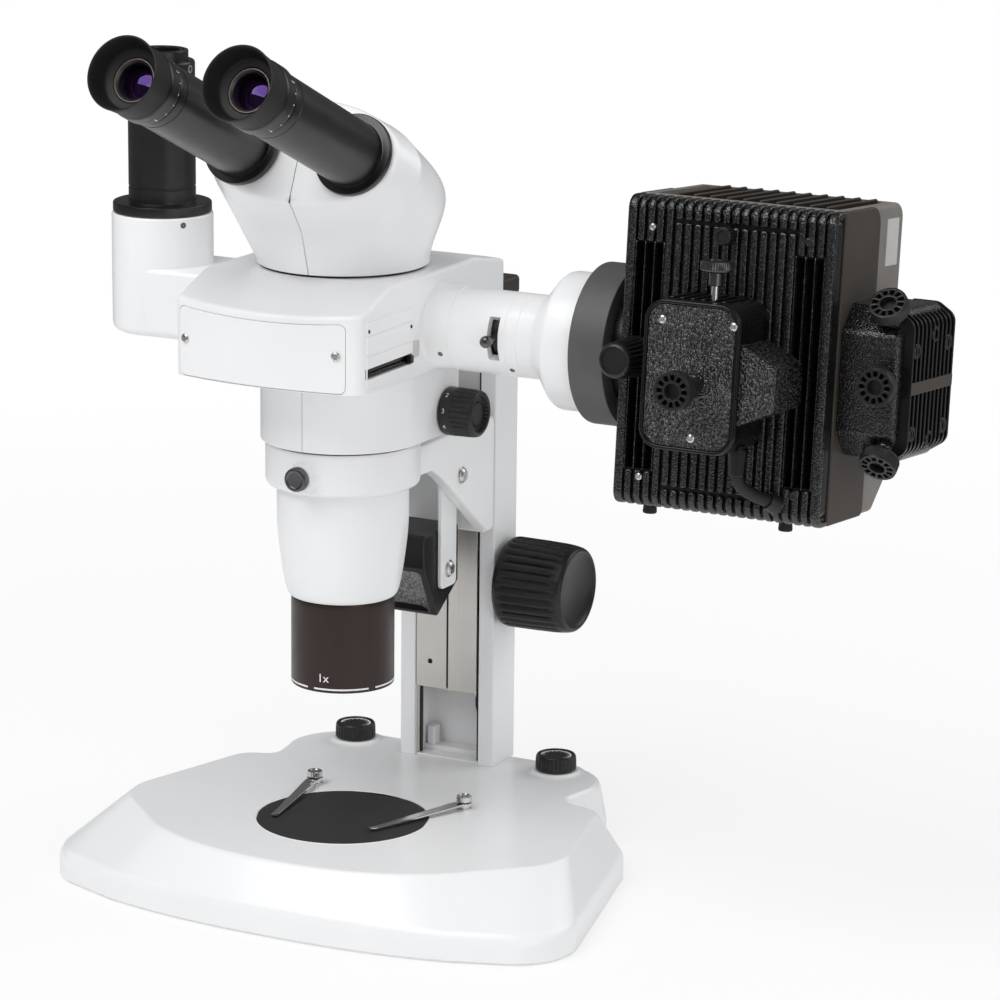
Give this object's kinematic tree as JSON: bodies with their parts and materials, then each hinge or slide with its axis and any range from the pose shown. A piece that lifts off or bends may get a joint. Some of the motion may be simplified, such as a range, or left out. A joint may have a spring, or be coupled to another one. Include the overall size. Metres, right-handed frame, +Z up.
{
  "type": "stereo microscope",
  "caption": "Stereo microscope on a column stand, with binocular head, camera port, side illuminator with a ribbed lamp house, zoom body, rack focus and a stage with spring clips",
  "frame": {"origin": "on the bench under the optical axis, taken at the flat cover under the base", "axes": "+X from the optical axis to the lamp house, +Y from the optical axis back to the column, +Z up"},
  "size_m": [0.502, 0.3525, 0.5108],
  "materials": {
    "white_enamel": "smooth white stoving enamel",
    "white_plastic": "smooth white moulding, lightly glossy",
    "black_anodised": "satin black anodised",
    "grey_anodised": "satin dark grey anodised",
    "lamp_black": "black paint, wrinkled on the boxes",
    "black_plastic": "satin black moulding",
    "black_rubber": "matt black rubber",
    "satin_aluminium": "satin plate",
    "hammered_silver": "hammered reflector",
    "bright_steel": "ground steel",
    "chrome": "polished chrome",
    "brass": "cut brass",
    "coated_glass": "violet anti-reflection coating"
  },
  "bodies": {
    "stand": {"base_casting": "white_enamel", "base_cover": "black_plastic", "rubber_feet": "black_rubber", "base_screws": "bright_steel", "column": "white_enamel", "column_cap": "black_plastic", "guide_rails": "bright_steel", "pinion_bushes": "bright_steel", "dimmers": "bright_steel", "power_inlet": "black_plastic", "stage_plate": "black_plastic", "clip_screws": "chrome"},
    "clip_left": {"stage_clip_left": "chrome"},
    "clip_right": {"stage_clip_right": "chrome"},
    "light_left": {"light_knob_left": "black_plastic"},
    "light_right": {"light_knob_right": "black_plastic"},
    "focus_drive": {"focus_shaft": "bright_steel", "focus_knobs": "black_plastic"},
    "carriage": {"carriage": "satin_aluminium", "rack": "brass", "focus_arm": "white_enamel", "arm_screws": "chrome", "lamp_strips": "white_enamel"},
    "ring_lock": {"ring_lock_screw": "black_plastic"},
    "reflector": {"reflector_housing": "black_plastic", "reflector_panel": "hammered_silver"},
    "head": {"zoom_body_upper": "white_plastic", "zoom_body_lower": "white_enamel", "objective": "black_anodised", "inner_lenses": "coated_glass", "head_box": "white_plastic", "head_box_cover": "white_plastic", "cover_screws": "chrome", "binocular_shell": "white_plastic", "camera_arm": "white_plastic", "camera_tube": "black_anodised", "illuminator_tube": "white_enamel", "coupling_ring": "grey_anodised", "lamp_case": "lamp_black", "lamp_front_cover": "lamp_black", "socket_box": "lamp_black", "lamp_bulb": "coated_glass", "mirror_box": "lamp_black", "lamp_lead": "black_rubber"},
    "zoom_drive": {"zoom_knobs": "black_plastic"},
    "eyetube_left": {"eyetube_left": "black_anodised"},
    "eyetube_right": {"eyetube_right": "black_anodised"},
    "eyepiece_left": {"eyepiece_left": "black_plastic", "eye_lens_left": "coated_glass"},
    "eyepiece_right": {"eyepiece_right": "black_plastic", "eye_lens_right": "coated_glass"},
    "filter": {"filter_slider": "black_plastic"},
    "iris": {"iris_lever": "chrome"},
    "collector": {"collector_lens": "coated_glass"},
    "collector_drive": {"collector_knob": "black_plastic"},
    "socket_drive": {"socket_knob": "black_plastic"},
    "socket_screw": {"socket_thumbscrew": "black_plastic"},
    "mirror_top": {"mirror_knob_top": "black_plastic"},
    "mirror_front": {"mirror_knob_front": "black_plastic"},
    "mirror_bottom": {"mirror_knob_bottom": "black_plastic"}
  },
  "joints": [
    {"name": "focus_travel", "type": "slide", "parent": "stand", "child": "carriage", "axis": [0, 0, 1], "range_m": [-0.03, 0.055]},
    {"name": "focus_knob_turn", "type": "hinge", "parent": "stand", "child": "focus_drive", "pos_m": [0, 0.1426, 0.1535], "axis": [1, 0, 0], "range_deg": [-495, 270]},
    {"name": "head_swivel", "type": "hinge", "parent": "carriage", "child": "head", "pos_m": [0, 0, 0.2525], "axis": [0, 0, 1], "range_deg": [-25, 25]},
    {"name": "ring_lock_turn", "type": "hinge", "parent": "carriage", "child": "ring_lock", "pos_m": [0, -0.05, 0.252], "axis": [0, -1, 0], "range_deg": [-90, 180]},
    {"name": "reflector_tilt", "type": "hinge", "parent": "carriage", "child": "reflector", "pos_m": [0, 0.083, 0.173], "axis": [1, 0, 0], "range_deg": [-20, 20]},
    {"name": "zoom_turn", "type": "hinge", "parent": "head", "child": "zoom_drive", "pos_m": [0, 0.038, 0.2791], "axis": [1, 0, 0], "range_deg": [-150, 150]},
    {"name": "ipd_right", "type": "hinge", "parent": "head", "child": "eyetube_right", "pos_m": [0.01053, -0.05364, 0.42558], "axis": [0, -0.9135, 0.4067], "range_deg": [-25, 30]},
    {"name": "ipd_left", "type": "hinge", "parent": "head", "child": "eyetube_left", "pos_m": [-0.01053, -0.05364, 0.42558], "axis": [0, -0.9135, 0.4067], "range_deg": [-30, 25]},
    {"name": "diopter_right", "type": "hinge", "parent": "eyetube_right", "child": "eyepiece_right", "pos_m": [0.035, -0.14584, 0.47911], "axis": [0, -0.9135, 0.4067], "range_deg": [-90, 90]},
    {"name": "diopter_left", "type": "hinge", "parent": "eyetube_left", "child": "eyepiece_left", "pos_m": [-0.035, -0.14584, 0.47911], "axis": [0, -0.9135, 0.4067], "range_deg": [-90, 90]},
    {"name": "filter_slide", "type": "slide", "parent": "head", "child": "filter", "axis": [0, 1, 0], "range_m": [-0.044, 0]},
    {"name": "iris_turn", "type": "hinge", "parent": "head", "child": "iris", "pos_m": [0.103, 0.01, 0.335], "axis": [1, 0, 0], "range_deg": [-22, 22]},
    {"name": "clip_left_turn", "type": "hinge", "parent": "stand", "child": "clip_left", "pos_m": [-0.0455, 0.0475, 0.043], "axis": [0, 0, 1], "range_deg": [-60, 20]},
    {"name": "clip_right_turn", "type": "hinge", "parent": "stand", "child": "clip_right", "pos_m": [0.0545, 0.0475, 0.043], "axis": [0, 0, 1], "range_deg": [-20, 60]},
    {"name": "light_left_turn", "type": "hinge", "parent": "stand", "child": "light_left", "pos_m": [-0.0687, 0.1386, 0.04], "axis": [0, 0, 1], "range_deg": [0, 270]},
    {"name": "light_right_turn", "type": "hinge", "parent": "stand", "child": "light_right", "pos_m": [0.0687, 0.1386, 0.04], "axis": [0, 0, 1], "range_deg": [0, 270]},
    {"name": "collector_slide", "type": "slide", "parent": "head", "child": "collector", "axis": [1, 0, 0], "range_m": [-0.005, 0.005]},
    {"name": "collector_knob_turn", "type": "hinge", "parent": "head", "child": "collector_drive", "pos_m": [0.2, -0.03171, 0.34015], "axis": [0, -0.9962, 0.0872], "range_deg": [-91, 91]},
    {"name": "socket_knob_turn", "type": "hinge", "parent": "head", "child": "socket_drive", "pos_m": [0.25, -0.07022, 0.33599], "axis": [0, -0.9962, 0.0872], "range_deg": [-180, 180]},
    {"name": "socket_thumbscrew_turn", "type": "hinge", "parent": "head", "child": "socket_screw", "pos_m": [0.254, -0.05607, 0.38294], "axis": [0, 0.0872, 0.9962], "range_deg": [-180, 180]},
    {"name": "mirror_top_turn", "type": "hinge", "parent": "head", "child": "mirror_top", "pos_m": [0.334, -0.00514, 0.36845], "axis": [0, -0.6428, 0.766], "range_deg": [-180, 180]},
    {"name": "mirror_front_turn", "type": "hinge", "parent": "head", "child": "mirror_front", "pos_m": [0.334, -0.01508, 0.33519], "axis": [0, -0.9962, 0.0872], "range_deg": [-180, 180]},
    {"name": "mirror_bottom_turn", "type": "hinge", "parent": "head", "child": "mirror_bottom", "pos_m": [0.334, -0.01107, 0.30071], "axis": [0, -0.766, -0.6428], "range_deg": [-180, 180]}
  ],
  "couplings": [
    {"joint": "focus_knob_turn", "follows": "focus_travel", "rad_per_m": -156.25},
    {"joint": "ipd_left", "follows": "ipd_right", "ratio": -1},
    {"joint": "collector_knob_turn", "follows": "collector_slide", "rad_per_m": 314.16}
  ]
}
